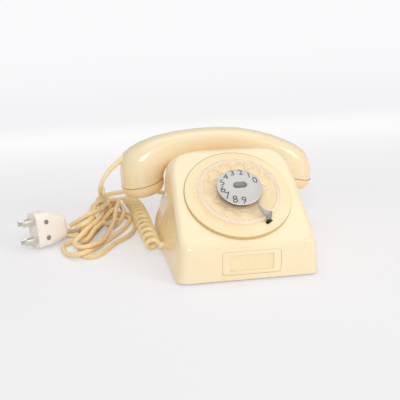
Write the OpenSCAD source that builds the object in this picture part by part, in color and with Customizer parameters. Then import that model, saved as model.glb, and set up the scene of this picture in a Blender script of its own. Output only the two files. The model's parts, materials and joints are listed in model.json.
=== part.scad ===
// Desk telephone with a rotary dial, a crosswise handset, a curly handset cord and a line cord
// with a flat-bladed plug. Millimetres, +Z up, front towards -Y, the table is z = 0.

/* [Housing] */
// Width over the skirt of the housing
body_w = 144; // [136:1:152]
// Depth from the apron to the rear wall
body_d = 202; // [196:1:208]
// Height of the crest above the dial face
crest_z = 104.5; // [101:0.5:108]
// Height of the crease where the apron meets the dial face
apron_z = 37; // [34:0.5:39]
// Slope of the dial face against the table
face_tilt = 34; // [33:0.25:35]
// Wall of the moulded shells
wall = 3; // [2.4:0.1:3.2]
// Inward lean of the side walls, as a share of the height
draft = 0.1; // [0.06:0.01:0.12]
// Radius of the corners seen from above
corner_r = 10; // [8:0.5:12]
// Height of the cradle floor that the handset lies over
cradle_z = 84.5; // [80:0.5:84.5]
// Gap between the neck of the housing and each end of the handset
neck_gap = 3.5; // [3:0.1:5]

/* [Base] */
// Height of the skirt's lower edge above the table
skirt_z = 2; // [1.8:0.1:3]
// Thickness of the base plate
base_t = 3; // [2:0.1:4]
// Underside of the base plate above the table
base_z = 1.5; // [1.2:0.1:1.8]
// Radius of a rubber foot
foot_r = 9; // [6:0.5:11]

/* [Number card] */
// Width of the moulded card frame
frame_w = 59; // [56:0.5:64]
// Height of the moulded card frame
frame_h = 24; // [22:0.5:25]
// Width of the card behind its window
card_w = 44; // [40:0.5:46]
// Height of the card behind its window
card_h = 16; // [14:0.5:17]
// Height of the card's centre
card_z = 19.5; // [18:0.5:20]

/* [Dial] */
// Slope of the dial against the table
dial_tilt = 32; // [31:0.25:33]
// Radius of the clear finger wheel
wheel_r = 42; // [40:0.5:43]
// Radius of the fixed disc under the finger wheel
bezel_r = 54.7; // [53:0.1:56]
// Radius of a finger hole
finger_r = 6.4; // [6:0.1:6.6]
// Radius of the circle that the finger holes lie on
finger_ring_r = 30.5; // [30:0.1:31]
// Angle of the first finger hole, from the right, turning left
finger_start = 30; // [28:1:32]
// Angle between neighbouring finger holes
finger_step = 27.8; // [27:0.1:28]
// Angle of the finger stop, from the right, turning left
stop_angle = -51; // [-54:1:-48]
// Radius of the metal number plate
plate_r = 23.1; // [22:0.1:23.5]
// Height of the number plate's top over the wheel
plate_rise = 5.3; // [4.6:0.1:6]
// rise of the number plate's crown over its rim
plate_dome = 3.1; // [2.4:0.1:3.6]
// Radius of the dial's main shaft
shaft_r = 3; // [2.5:0.1:3.5]
// Running clearance of the dial's shafts
run_gap = 0.05; // [0.03:0.01:0.09]
// Teeth of the main gear
gear_teeth = 48; // [48:16:48]
// Teeth of the pinion
pinion_teeth = 16; // [16:16:16]
// Tooth module of the gear pair
tooth_module = 0.9; // [0.85:0.01:0.95]

/* [Handset] */
// Half length of the handset
handset_half_l = 106; // [105:0.5:107]
// Distance of the handset's middle behind the housing's middle
handset_y = 45; // [44.5:0.5:45.5]
// Height of the grip's back over the table
grip_top_z = 116.5; // [115:0.5:118]
// Half width of the grip
grip_half_w = 15.3; // [14:0.1:16]
// Radius of the round ends where the caps sit
cap_r = 23.2; // [22.8:0.1:23.6]
// Depth of a cap
cap_h = 14; // [12:0.5:14.5]
// Radius of a cord
cord_r = 2.5; // [2:0.1:2.7]
// Travel of the two hook plungers
hook_travel = 5; // [3:0.5:6]

/* [Hidden] */
$fn = 48;

cream = [0.95, 0.87, 0.70];
yellow_cream = [0.95, 0.86, 0.64];
steel = [0.72, 0.72, 0.73];
brass = [0.78, 0.62, 0.33];
black = [0.10, 0.10, 0.11];
clear = [0.95, 0.92, 0.84, 0.4];
cord_tan = [0.86, 0.74, 0.52];
ivory = [0.95, 0.94, 0.88];
copper = [0.72, 0.42, 0.22];

face_gap = 0.3;          // between parts that lie against each other
front_y = -body_d / 2;
rear_y = body_d / 2;
half_w = body_w / 2;

// ---------------------------------------------------------------- helpers
// Smooth step from 0 to 1 as v goes from a to b
function ease(v, a, b) = let (t = min(1, max(0, (v - a) / (b - a)))) t * t * (3 - 2 * t);
function unit(v) = v / norm(v);
// Power that keeps the sign, for rounded-square sections
function soft(v, e) = sign(v) * pow(abs(v), e);
function involute(a) = tan(a) - a * PI / 180;

// Closed solid through equal rings of points, with each end closed by a fan to its middle
function middle_of(ring) = [for (c = [0 : 2]) [for (p = ring) p[c]] * [for (p = ring) 1] / len(ring)];
module skin(rings) {
    m = len(rings[0]);
    n = len(rings);
    sides = [for (i = [0 : n - 2], j = [0 : m - 1])
        let (a = i * m + j, b = i * m + (j + 1) % m, c = a + m, d = b + m) each [[a, b, d], [a, d, c]]];
    ends = [for (j = [0 : m - 1]) let (k = (j + 1) % m, last = (n - 1) * m)
        each [[n * m, k, j], [n * m + 1, last + j, last + k]]];
    points = concat([for (r = rings) each r], [middle_of(rings[0]), middle_of(rings[n - 1])]);
    polyhedron(points, concat(sides, ends), convexity = 6);
}

// Round tube along a route, with a ring at each of its points
module tube(route, r, sides = 10, up = [0, 0, 1]) {
    last = len(route) - 1;
    rings = [for (i = [0 : last])
        let (t = unit(route[min(i + 1, last)] - route[max(i - 1, 0)]),
             s = unit(cross(t, up)), v = cross(s, t))
        [for (k = [0 : sides - 1]) route[i] + r * (cos(k * 360 / sides) * s + sin(k * 360 / sides) * v)]];
    skin(rings);
}

module round_rect(w, h, r) {
    hull() for (x = [-1, 1], y = [-1, 1]) translate([x * (w / 2 - r), y * (h / 2 - r)]) circle(r);
}

// ---------------------------------------------------------------- housing form
// Stations along the handset are written for a half length of 106 and move out with it
function reach(x) = x + (handset_half_l - 106) * max(-1, min(1, x / 46));
crease_r = 4;            // rounding of the crease
crest_r = 9;             // rounding of the crest
face_edge = 7;           // rounding between the dial face and the side walls
shoulder = 33;           // how far the face's upper corners are rounded away
rim_z = cradle_z + 12;   // rear rim of the cradle
neck_half_w = reach(60.5) - neck_gap;

function face_line(y) = apron_z + (y - front_y) * tan(face_tilt);
crease_y = front_y + crease_r;
crease_c = face_line(crease_y) - crease_r / cos(face_tilt);
crest_y = front_y + (crest_z - crest_r + crest_r / cos(face_tilt) - apron_z) / tan(face_tilt);
crest_back = 22;         // direction, in degrees over level, in which the crest's rounding ends
back_y = crest_y + crest_r * cos(crest_back);
back_z = crest_z - crest_r + crest_r * sin(crest_back);
cradle_front = back_y + (back_z - cradle_z) / 2.6;
cradle_back = handset_y + 23;

// Height of the housing along its middle
function top_z(y) =
    y < crease_y - crease_r * sin(face_tilt)
        ? crease_c + sqrt(max(0, crease_r * crease_r - pow(max(y, front_y) - crease_y, 2)))
    : y < crest_y - crest_r * sin(face_tilt) ? face_line(y)
    : y < back_y ? crest_z - crest_r + sqrt(crest_r * crest_r - pow(y - crest_y, 2))
    : lookup(y, [[back_y, back_z], [cradle_front, cradle_z], [cradle_back, cradle_z],
        [cradle_back + 6, rim_z - 1.5], [cradle_back + 10, rim_z], [cradle_back + 15, rim_z - 4],
        [rear_y - 11, apron_z + 20], [rear_y - 3, skirt_z + 16], [rear_y, skirt_z + 6]]);
function inner_top(y, inset) =
    min(top_z(y - inset), top_z(y), top_z(y + inset)) - inset;

// How far the neck between the handset's ends draws in, and the hollow ahead of it
function neck(y) = ease(y, cradle_front - 9, cradle_front + 2);
function hollow(y) = ease(y, crest_y - 26, crest_y + 2);

// Half width of the housing at a height, drawn in by an inset
function side_x(y, z, inset = 0) =
    let (r = corner_r - inset,
         ends = max(front_y + corner_r - y, y - (rear_y - corner_r), 0),
         plan = half_w - corner_r + sqrt(max(0, r * r - ends * ends)),
         wall_x = plan - draft * (z - skirt_z),
         slim = (half_w - neck_half_w - 5) * neck(y) * ease(z, skirt_z + 16, skirt_z + 44),
         scoop = 5 * hollow(y) * (1 - neck(y)) * ease(z, 20, 48) * (1 - ease(z, 50, 64)))
    wall_x - slim - scoop;

// Width and height of the rounding at the top of a section
function round_w(y) = y < cradle_front - 1
    ? face_edge + shoulder * pow(max(0, min(1, (y + 45) / 49)), 5)
    : 22 - 8 * ease(y, cradle_back, cradle_back + 8);
function round_h(y) = y < cradle_front - 1
    ? face_edge + 12 * pow(max(0, min(1, (y + 45) / 49)), 3)
    : 10;

function section(y, inset, levels, arcs) =
    let (zt = inset > 0 ? inner_top(y, inset) : top_z(y),
         h = min(round_h(y), (zt - skirt_z) * 0.6), low = inset > 0 ? skirt_z - 1 : skirt_z,
         a = round_w(y) - inset * 0.5, w = side_x(y, zt - h, inset),
         half = concat(
             [for (k = [0 : levels]) let (z = low + (zt - h - low) * k / levels)
                 [side_x(y, z, inset), z]],
             [for (i = [1 : arcs]) [w - a + a * cos(90 * i / arcs), zt - h + h * sin(90 * i / arcs)]]))
    concat([for (p = half) [p[0], y, p[1]]],
        [for (i = [len(half) - 1 : -1 : 0]) [-half[i][0], y, half[i][1]]]);

front_steps = [0, 0.35, 1, 1.9, 3.4, 6, corner_r];
face_steps = [0.16, 0.33, 0.5, 0.64, 0.76, 0.86, 0.94, 1];
rear_steps = [6, 10, 13, 16];
face_end = crest_y - crest_r * sin(face_tilt);
function stations(inset) = concat(
    [for (s = front_steps) front_y + inset + s * (corner_r - inset) / corner_r],
    [for (s = face_steps) front_y + corner_r + s * (face_end - front_y - corner_r)],
    [for (a = [66 : 12 : 150]) crest_y - crest_r * cos(a)],
    [back_y, (back_y + cradle_front) / 2, cradle_front, cradle_front + 4, cradle_front + 12,
        handset_y, cradle_back - 8, cradle_back, cradle_back + 3],
    [for (s = rear_steps) cradle_back + s],
    [for (s = [0, 3.5, 7, 8.7, 9.6, corner_r]) rear_y - corner_r + s * (corner_r - inset) / corner_r]);

module housing_form() { skin([for (y = stations(0)) section(y, 0, 10, 6)]); }
module housing_cavity() { skin([for (y = stations(wall)) section(y, wall, 5, 3)]); }

// ---------------------------------------------------------------- dial frame
// The dial's own frame: origin on its axis in the top plane of the finger wheel
bezel_drop = 4.5;        // the bezel's top under the wheel's top
bezel_t = 3;
ledge_drop = 9.5;        // ledge in the housing that carries the dial
ledge_t = 3;
well_r = bezel_r + 0.2;
case_r = bezel_r - 8.2;
case_drop = 30;
dial_screw_r = 1.1;
dial_screw_d = (case_r + bezel_r) / 2 - 0.4;
dial_y = -50.7 - bezel_drop * sin(dial_tilt);
dial_z = face_line(-50.7) + 2.4 / cos(face_tilt) + bezel_drop * cos(dial_tilt);
module on_dial() { translate([0, dial_y, dial_z]) rotate([dial_tilt, 0, 0]) children(); }
module disc(r, low, high) { translate([0, 0, low]) cylinder(r = r, h = high - low); }

// Points where the housing is screwed to its base and where the hook plungers pass its cradle
post_x = half_w - 11;
post_y = rear_y - 13;
post_r = 5;
plunger_x = 30;
plunger_r = 3;
screw_r = 1.7;
grommet_y = -15;
gland_x = -57;
cord_exit_z = 9.5;
module at_posts() { for (x = [-1, 1], y = [-1, 1]) translate([x * post_x, y * post_y, 0]) children(); }

module housing() {
    color(cream) difference() {
        housing_form();
        difference() {
            housing_cavity();
            on_dial() disc(well_r + wall, -ledge_drop - ledge_t, 20);
            at_posts() translate([0, 0, base_z + base_t + face_gap]) cylinder(r = post_r, h = 60);
            for (x = [-1, 1]) translate([x * plunger_x, handset_y, cradle_z - 12]) cylinder(r = plunger_r + 2.5, h = 12);
        }
        on_dial() disc(well_r, -ledge_drop, 30);
        on_dial() disc(case_r + face_gap, -ledge_drop - ledge_t - 20, 0);
        on_dial() for (a = [90, 210, 330]) rotate(a) translate([dial_screw_d, 0, -20]) cylinder(r = dial_screw_r + 0.1, h = 15);
        at_posts() cylinder(r = screw_r + 0.1, h = 24);
        for (x = [-1, 1]) translate([x * plunger_x, handset_y, cradle_z - 15]) cylinder(r = plunger_r + run_gap, h = 20);
        translate([2, front_y + frame_t, card_z]) rotate([90, 0, 0]) linear_extrude(5) round_rect(frame_w + 0.5, frame_h + 0.5, 3.7);
        translate([-half_w - 2, grommet_y, cord_exit_z]) rotate([0, 90, 0]) cylinder(r = grommet_r, h = 8);
        translate([gland_x, rear_y - 8, cord_exit_z]) rotate([-90, 0, 0]) cylinder(r = gland_r, h = 12);
    }
}

// ---------------------------------------------------------------- base
module base_outline(inset) {
    d = body_d / 2 - inset;
    w = half_w - inset;
    round_rect(2 * w, 2 * d, corner_r - inset);
}
foot_x = half_w - 22;
foot_y = rear_y - 24;
module base_plate() {
    color(black) difference() {
        translate([0, 0, base_z]) linear_extrude(base_t) base_outline(wall + face_gap + 0.4);
        at_posts() translate([0, 0, -1]) cylinder(r = screw_r + 0.3, h = 10);
        at_posts() translate([0, 0, -1]) cylinder(r = screw_head_r + 0.3, h = base_z + 1 + screw_head_h);
        for (x = [-36 : 12 : 36]) translate([x - 2, 20, 0]) cube([4, 30, 10]);
    }
}
screw_head_r = 3.2;
screw_head_h = 1.8;
module base_screws() {
    color(steel) at_posts() difference() {
        union() {
            translate([0, 0, base_z + 0.1]) cylinder(r = screw_head_r, h = screw_head_h - 0.1);
            translate([0, 0, base_z + 0.2]) cylinder(r = screw_r, h = 14);
        }
        translate([-screw_head_r, -0.4, base_z]) cube([2 * screw_head_r, 0.8, 0.9]);
    }
}
module feet() {
    color([0.16, 0.15, 0.14]) for (x = [-1, 1], y = [-1, 1]) translate([x * foot_x, y * foot_y, 0])
        cylinder(r1 = foot_r - 1, r2 = foot_r, h = base_z);
}

// ---------------------------------------------------------------- number card
frame_t = 1.7;
module card_place(depth) { translate([2, front_y + depth, card_z]) rotate([90, 0, 0]) children(); }
module card_frame() {
    color(cream) card_place(frame_t) difference() {
        linear_extrude(frame_t) round_rect(frame_w, frame_h, 3.5);
        translate([0, 0, frame_t - 1.2]) linear_extrude(2) square([card_w + 0.4, card_h + 0.4], center = true);
    }
}
module number_card() {
    color(yellow_cream) card_place(1.2) linear_extrude(0.3) square([card_w, card_h], center = true);
}
module card_window() {
    color(clear) card_place(0.85) linear_extrude(0.75) square([card_w, card_h], center = true);
}

// ---------------------------------------------------------------- dial, fixed parts
hub_r = 9;
stop_w = 7;
module dial_bezel() {
    color(yellow_cream) on_dial() difference() {
        translate([0, 0, -bezel_drop]) rotate_extrude($fn = 96) polygon([
            [hub_r + 1, 0], [bezel_r - 1.6, 0], [bezel_r - 0.5, -0.5], [bezel_r, -1.6],
            [bezel_r, bezel_drop - ledge_drop + 0.1], [bezel_r - 2, bezel_drop - ledge_drop + 0.1],
            [bezel_r - 2, -bezel_t], [hub_r + 1, -bezel_t]]);
        rotate(stop_angle) translate([wheel_r + 0.6, -stop_w / 2 - 0.4, -10]) cube([4, stop_w + 0.8, 10]);
    }
}
spindle_d = tooth_module * (gear_teeth + pinion_teeth) / 2;
spindle_a = 140;
spindle_r = 1.8;
flange_top = -bezel_drop - bezel_t - face_gap;
module at_spindle() { rotate(spindle_a) translate([spindle_d, 0, 0]) children(); }
module dial_case() {
    color([0.80, 0.80, 0.80]) on_dial() difference() {
        union() {
            disc(case_r, -case_drop, flange_top);
            disc(bezel_r - 2.6, -ledge_drop + 0.05, flange_top);
        }
        disc(case_r - 1.5, -case_drop + 1.5, 5);
        disc(shaft_r + run_gap, -case_drop - 1, 0);
        at_spindle() disc(spindle_r + run_gap, -case_drop - 1, 0);
        for (a = [90, 210, 330]) rotate(a) translate([dial_screw_d, 0, -20]) cylinder(r = dial_screw_r + 0.2, h = 18);
        for (a = [60, 240]) rotate(a) translate([34, 0, -case_drop - 1]) cylinder(r = 1.2, h = 5);
    }
}
module dial_screws() {
    color(steel) on_dial() for (a = [90, 210, 330]) rotate(a)
        translate([dial_screw_d, 0, -ledge_drop - ledge_t]) cylinder(r = dial_screw_r, h = ledge_t + 1.8);
}
plate_low = -12.4;
module bearing_plate() {
    color(steel) on_dial() difference() {
        union() {
            hull() {
                disc(8, plate_low, plate_low + 1.2);
                at_spindle() disc(5, plate_low, plate_low + 1.2);
            }
            for (a = [60, 240]) hull() {
                disc(6, plate_low, plate_low + 1.2);
                rotate(a) translate([34, 0, 0]) disc(3.5, plate_low, plate_low + 1.2);
            }
            for (a = [60, 240]) rotate(a) translate([34, 0, 0]) disc(2.5, -case_drop + 1.5, plate_low + 0.1);
        }
        disc(shaft_r + run_gap, -40, 0);
        at_spindle() disc(spindle_r + run_gap, -40, 0);
    }
}
module finger_stop() {
    color(steel) on_dial() rotate(stop_angle) {
        translate([wheel_r + 1, -stop_w / 2, flange_top - 0.1]) cube([1.2, stop_w, 3.4 - flange_top]);
        translate([0, 0, 2.4]) linear_extrude(0.9) polygon([
            [wheel_r + 2.2, -stop_w / 2], [wheel_r + 2.2, stop_w / 2], [wheel_r - 3, 2.4],
            [wheel_r - 9, 0.4], [plate_r + 3.4, -0.6], [plate_r + 2, -2], [plate_r + 3.2, -3],
            [wheel_r - 9, -3.2], [wheel_r - 3, -3.4]]);
    }
}

// ---------------------------------------------------------------- dial, turning parts
wheel_t = 2.6;
rim_rise = 1.3;
// height of the number plate's dome at distance r from its middle
function dome(r) = plate_rise + plate_dome * (1 - pow(r / plate_r, 2));
module finger_wheel() {
    color(clear) on_dial() difference() {
        rotate_extrude($fn = 96) polygon([
            [shaft_r, -wheel_t], [wheel_r - 0.8, -wheel_t], [wheel_r, -wheel_t + 0.8], [wheel_r, 0.2],
            [wheel_r - 1.4, rim_rise], [wheel_r - 3.4, rim_rise], [wheel_r - 4.6, 0],
            [plate_r + 0.4, 0], for (r = [plate_r - 1.6, 17.5, 14, 10.5, 7, shaft_r]) [r, dome(r) - 1.4]]);
        for (i = [0 : 9]) rotate(finger_start + i * finger_step) translate([finger_ring_r, 0, -5]) cylinder(r = finger_r, h = 10);
    }
}
module number_plate() {
    radii = [0, 3.5, 7, 10.5, 14, 17.5, 20.5, plate_r - 0.4];
    color([0.78, 0.79, 0.80]) on_dial() difference() {
        rotate_extrude($fn = 96) polygon(concat(
            [for (r = radii) [r, dome(r)]], [[plate_r, plate_rise - 0.5], [plate_r, plate_rise - 1.3]],
            [for (k = [len(radii) - 1 : -1 : 0]) [radii[k], dome(radii[k]) - 1.3]]));
        disc(shaft_r - 0.6, 0, 20);
    }
}
module plate_boss() {
    color(steel) on_dial() {
        translate([0, 0, dome(0) + 0.05]) linear_extrude(0.9) hull()
            for (x = [-1, 1]) translate([x * 3.6, 0]) circle(3.4);
        disc(shaft_r - 0.7, plate_rise - 1.2, dome(0) + 0.2);
    }
}
module dial_shaft() {
    color(steel) on_dial() {
        disc(shaft_r, -case_drop - 0.6, plate_rise - 1.5);
        disc(shaft_r + 3, -wheel_t - 1.6, -wheel_t - 0.05);
    }
}
function gear_points(teeth, m, add, gap) =
    let (r = m * teeth / 2, rb = r * cos(20), ra = r + add * m, rf = r - 1.3 * m,
         half = (PI * m / 4 - gap) / r * 180 / PI + involute(20) * 180 / PI,
         radii = [for (k = [0 : 3]) max(rb, rf + 0.1) + (ra - max(rb, rf + 0.1)) * k / 3],
         flank = [for (q = radii) [q, half - involute(acos(min(1, rb / q))) * 180 / PI]])
    [for (i = [0 : teeth - 1]) let (c = i * 360 / teeth) each concat(
        [[rf, c - half - 0.3]], [for (f = flank) [f[0], c - f[1]]],
        [for (k = [3 : -1 : 0]) [flank[k][0], c + flank[k][1]]], [[rf, c + half + 0.3]])];
module gear(teeth, add, gap) {
    polygon([for (p = gear_points(teeth, tooth_module, add, gap)) p[0] * [cos(p[1]), sin(p[1])]]);
}
gear_low = -20;
gear_t = 2.4;
module main_gear() {
    color(brass) on_dial() rotate(spindle_a) translate([0, 0, gear_low]) difference() {
        union() {
            linear_extrude(gear_t) gear(gear_teeth, 0.8, 0.07);
            cylinder(r = 6, h = gear_t + 2);
        }
        translate([0, 0, -1]) cylinder(r = shaft_r, h = 10);
        for (a = [0 : 60 : 300]) rotate(a) translate([12.5, 0, -1]) cylinder(r = 3.8, h = 10);
    }
}
module return_spring() {
    turns = 4.5;
    function coil_r(a) = shaft_r + 0.6 + a / 360 * 2.4;
    color([0.35, 0.38, 0.45]) on_dial() translate([0, 0, -26]) linear_extrude(4) polygon(concat(
        [for (a = [0 : 15 : 360 * turns]) coil_r(a) * [cos(a), sin(a)]],
        [for (a = [360 * turns : -15 : 0]) (coil_r(a) + 0.5) * [cos(a), sin(a)]]));
}
module pinion_spindle() {
    color(steel) on_dial() at_spindle() {
        disc(spindle_r, -case_drop - 0.6, plate_low + 1.5);
        translate([0, 0, gear_low - 0.5]) rotate(spindle_a * 0 + 180 + 180 / pinion_teeth)
            linear_extrude(gear_t + 1) gear(pinion_teeth, 0.85, 0.07);
    }
}
module pulse_cam() {
    color([0.85, 0.82, 0.75]) on_dial() at_spindle() difference() {
        union() {
            disc(4, -27.6, -25.2);
            for (a = [0, 120, 240]) rotate(a) translate([4.2, 0, 0]) disc(1.2, -27.6, -25.2);
        }
        disc(spindle_r, -40, 0);
    }
}
module governor() {
    color(brass) on_dial() at_spindle() difference() {
        union() {
            disc(3.2, -16.2, -13);
            for (a = [0, 180]) rotate(a) hull() {
                translate([2, -1, -15.6]) cube([1, 2, 2]);
                translate([6.5, 0, 0]) disc(2, -15.6, -13.6);
            }
        }
        disc(spindle_r, -40, 0);
    }
}
module pulse_contacts() {
    color(brass) on_dial() at_spindle() {
        translate([5.9, -9, -27.4]) cube([0.4, 16, 2]);
        translate([7.3, -9, -27.4]) cube([0.4, 16, 2]);
        translate([5.6, -14, -case_drop + 1.5]) cube([2.6, 5.2, 5]);
    }
}

// ---------------------------------------------------------------- hook switch
hook_z = 60;
bar_t = 3;
under_x = plunger_x;
plunger_top = grip_under(plunger_x) - face_gap;
module plunger(side) {
    color(ivory) translate([side * plunger_x, handset_y, 0]) {
        translate([0, 0, hook_z + bar_t / 2 + 0.05]) cylinder(r = plunger_r, h = plunger_top - 1.5 - hook_z - bar_t / 2);
        translate([0, 0, plunger_top - 1.5]) cylinder(r1 = plunger_r, r2 = plunger_r - 1.4, h = 1.5);
    }
}
module left_plunger() { plunger(-1); }
module right_plunger() { plunger(1); }
module hook_bar() {
    color(steel) translate([0, handset_y, hook_z]) {
        cube([2 * plunger_x + 10, 9, bar_t], center = true);
        translate([0, 0, -9]) cylinder(r = 2, h = 9);
        translate([16, 0, -6]) cube([6, 3, 12], center = true);
    }
}
frame_top = 36;
module hook_spring() {
    color(steel) translate([0, handset_y, frame_top + 0.2]) difference() {
        cylinder(r = 4, h = hook_z - bar_t / 2 - frame_top - 0.4);
        translate([0, 0, -1]) cylinder(r = 2.6, h = 40);
    }
}
floor_z = base_z + base_t;
module hook_frame() {
    color(steel) translate([0, handset_y, 0]) {
        for (x = [-1, 1]) translate([x * 22 - 1, -7, floor_z]) cube([2, 12, frame_top - floor_z]);
        translate([-23, -7, frame_top - 2]) cube([46, 12, 2]);
        for (x = [-1, 1]) translate([x * 26 - 5, -7, floor_z]) cube([10, 12, 1.6]);
    }
}
module hook_contacts() {
    color(brass) translate([10, handset_y, frame_top]) {
        cube([12, 6, 8]);
        for (i = [0 : 2]) translate([2, 1, 2 + i * 2.4]) cube([16, 4, 0.4]);
    }
}

// ---------------------------------------------------------------- ringer
gong_r = 19;
gong_x = 27;
gong_y = rear_y - 31;
gong_z = 14;
module gong() {
    color([0.80, 0.78, 0.72]) rotate_extrude($fn = 64) polygon([
        [2.2, 14], [gong_r - 8, 13.4], [gong_r - 3, 10.5], [gong_r - 0.6, 6], [gong_r, 0],
        [gong_r - 1.5, 0], [gong_r - 2.2, 5.4], [gong_r - 4.2, 9.3], [gong_r - 8.4, 11.9], [2.2, 12.5]]);
}
module left_gong() { translate([-gong_x, gong_y, gong_z]) gong(); }
module right_gong() { translate([gong_x, gong_y, gong_z]) gong(); }
module gong_screws() {
    color(steel) for (x = [-1, 1]) translate([x * gong_x, gong_y, 0]) {
        translate([0, 0, floor_z]) cylinder(r = 2, h = gong_z + 14.2 - floor_z);
        translate([0, 0, gong_z + 14 + 0.1]) cylinder(r = 4, h = 2);
        translate([0, 0, floor_z]) cylinder(r = 3.5, h = gong_z + 12.4 - floor_z);
    }
}
ringer_y = 26;
pivot_y = 34;
module ringer_frame() {
    color(steel) {
        translate([-20, ringer_y - 14, floor_z]) cube([40, 22, 1.6]);
        for (x = [-1, 1]) translate([x * 12, ringer_y - 7, floor_z + 1.5]) cylinder(r = 3, h = 21);
        translate([-16, ringer_y - 11, floor_z + 22.5]) cube([32, 8, 2]);
        translate([0, pivot_y - 4, floor_z]) cylinder(r = 1.4, h = 24);
        translate([-3, ringer_y - 8, floor_z + 22.5]) cube([6, 6, 1.8]);
    }
}
module ringer_coils() {
    color(copper) for (x = [-1, 1]) translate([x * 12, ringer_y - 7, floor_z + 2]) difference() {
        cylinder(r = 8, h = 20);
        translate([0, 0, -1]) cylinder(r = 3.1, h = 30);
    }
}
module clapper() {
    color(steel) {
        difference() {
            translate([0, pivot_y - 4, gong_z - 2]) cylinder(r = 3, h = 5);
            translate([0, pivot_y - 4, 0]) cylinder(r = 1.4 + run_gap, h = 40);
        }
        translate([-0.8, pivot_y - 1.4, gong_z]) cube([1.6, gong_y - pivot_y - 4, 1.6]);
        translate([0, gong_y - 4.4, gong_z - 1.2]) cylinder(r = 3.2, h = 4);
    }
}

// ---------------------------------------------------------------- electronics
board_w = 96;
board_d = 44;
board_rise = 5;          // gap under the board
board_z = floor_z + board_rise + 1.6;
board_y = front_y + 39;
module circuit_board() {
    color([0.55, 0.42, 0.20]) {
        translate([-board_w / 2, board_y - board_d / 2, floor_z + board_rise]) cube([board_w, board_d, 1.6]);
        for (x = [-1, 1], y = [-1, 1])
            translate([x * (board_w / 2 - 4), board_y + y * (board_d / 2 - 4), floor_z]) cylinder(r = 2.5, h = board_rise + 0.1);
    }
}
module induction_coil() {
    color([0.30, 0.22, 0.15]) translate([-30, board_y, board_z]) {
        translate([-11, -9, 0]) cube([22, 18, 3]);
        translate([-8, 0, 8]) rotate([0, 90, 0]) cylinder(r = 6, h = 16);
        for (x = [-11, 9]) translate([x, -8, 0]) cube([2, 16, 15]);
    }
}
module capacitor() {
    color([0.75, 0.68, 0.45]) translate([2, board_y, board_z]) {
        translate([-8, -7, 0]) cube([16, 14, 9]);
    }
}
module terminal_block() {
    color(black) translate([32, board_y, board_z]) difference() {
        translate([-9, -14, 0]) cube([18, 28, 8]);
        for (y = [-10 : 5 : 10]) translate([-5, y, 3]) cylinder(r = 1.4, h = 10);
        for (y = [-10 : 5 : 10]) translate([5, y, 3]) cylinder(r = 1.4, h = 10);
    }
}

// ---------------------------------------------------------------- handset
// Stations from one end to the other: outer point, inner point (x, z), half width, squareness
grip_under_z = 89;
left_seam = [[-106, 57], [-60.5, 67]];
right_seam = [[106, 54], [62, 66]];
left_end = [
    [left_seam[0], left_seam[1], cap_r, 1],
    [[-107, 70], [-59.6, 72], cap_r + 0.6, 0.92],
    [[-106.5, 83], [-58, 76], cap_r + 0.2, 0.86],
    [[-103.5, 92.5], [-56, 79], cap_r - 0.8, 0.84],
    [[-96, 98.5], [-53, 81], cap_r - 2, 0.82],
    [[-85, 104.5], [-48, 83.2], cap_r - 4, 0.8],
    [[-68, 110.3], [-40, 85.6], grip_half_w + 2, 0.78],
    [[-46, 114.3], [-28, 87.6], grip_half_w + 0.6, 0.76],
    [[-22, 116.3], [-14, 88.7], grip_half_w + 0.1, 0.76]];
middle = [[[0, grip_top_z], [0, grip_under_z], grip_half_w, 0.76]];
right_end = [
    [[24, 114.6], [14, 88.7], grip_half_w + 0.1, 0.76],
    [[45, 110], [28, 87.6], grip_half_w + 0.6, 0.76],
    [[61, 105], [40, 85.6], grip_half_w + 2, 0.78],
    [[76, 98.8], [48, 83.2], cap_r - 4, 0.8],
    [[89, 92.3], [53, 80.6], cap_r - 2, 0.82],
    [[98, 85.5], [56.5, 77.6], cap_r - 0.8, 0.84],
    [[103.6, 76], [59, 74], cap_r + 0.2, 0.88],
    [[106.2, 66], [60.6, 70.4], cap_r + 0.4, 0.94],
    [right_seam[0], right_seam[1], cap_r, 1]];
spine = concat(left_end, middle, right_end);
function grip_under(x) = lookup(x, [[reach(14), 88.7], [reach(28), 87.6], [reach(40), 85.6]]);
function out(p) = [reach(p[0]), p[1]];

function handset_ring(s, n = 28) =
    let (o = out(s[0]), i = out(s[1]), c = (o + i) / 2, h = (o - i) / 2)
    [for (k = [0 : n - 1]) let (a = k * 360 / n, u = soft(cos(a), s[3]), v = soft(sin(a), s[3]))
        [c[0] + h[0] * u, handset_y + s[2] * v, c[1] + h[1] * u]];

module at_end(seam, turn) {
    c = (out(seam[0]) + out(seam[1])) / 2;
    translate([c[0], handset_y, c[1]]) rotate([0, turn, 0]) children();
}
function seam_tilt(seam) = atan((seam[1][1] - seam[0][1]) / abs(seam[1][0] - seam[0][0]));
module mouth_end() { at_end(left_seam, -seam_tilt(left_seam)) children(); }
module ear_end() { at_end(right_seam, seam_tilt(right_seam)) children(); }

capsule_r = 18;
module handset_body() {
    color(cream) difference() {
        skin([for (s = spine) handset_ring(s)]);
        mouth_end() disc(capsule_r + 0.5, -1, 9);
        ear_end() disc(capsule_r + 0.5, -1, 9);
        translate(boot_route[0]) rotate([0, boot_turn, 0]) translate([0, 0, -0.5]) cylinder(r = boot_r + 0.1, h = 14);
    }
}
module cap(holes) {
    color(cream) difference() {
        rotate_extrude($fn = 72) polygon([
            [0, -face_gap], [cap_r, -face_gap], [cap_r - 0.3, -5], [cap_r - 1.4, -8.6],
            [cap_r - 3.2, -11.4], [cap_r - 5.4, -13.2], [cap_r - 8, -cap_h], [0, -cap_h]]);
        disc(capsule_r, -cap_h + 3.4, 1);
        for (h = holes) translate([h[0], h[1], -cap_h - 1]) cylinder(r = 1.1, h = 8);
    }
}
function hole_ring(n, r) = [for (i = [0 : n - 1]) r * [cos(i * 360 / n), sin(i * 360 / n)]];
module mouthpiece_cap() { mouth_end() cap(concat([[0, 0]], hole_ring(6, 4.5))); }
module earpiece_cap() { ear_end() cap(concat([[0, 0]], hole_ring(6, 4), hole_ring(12, 8.5))); }
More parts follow.
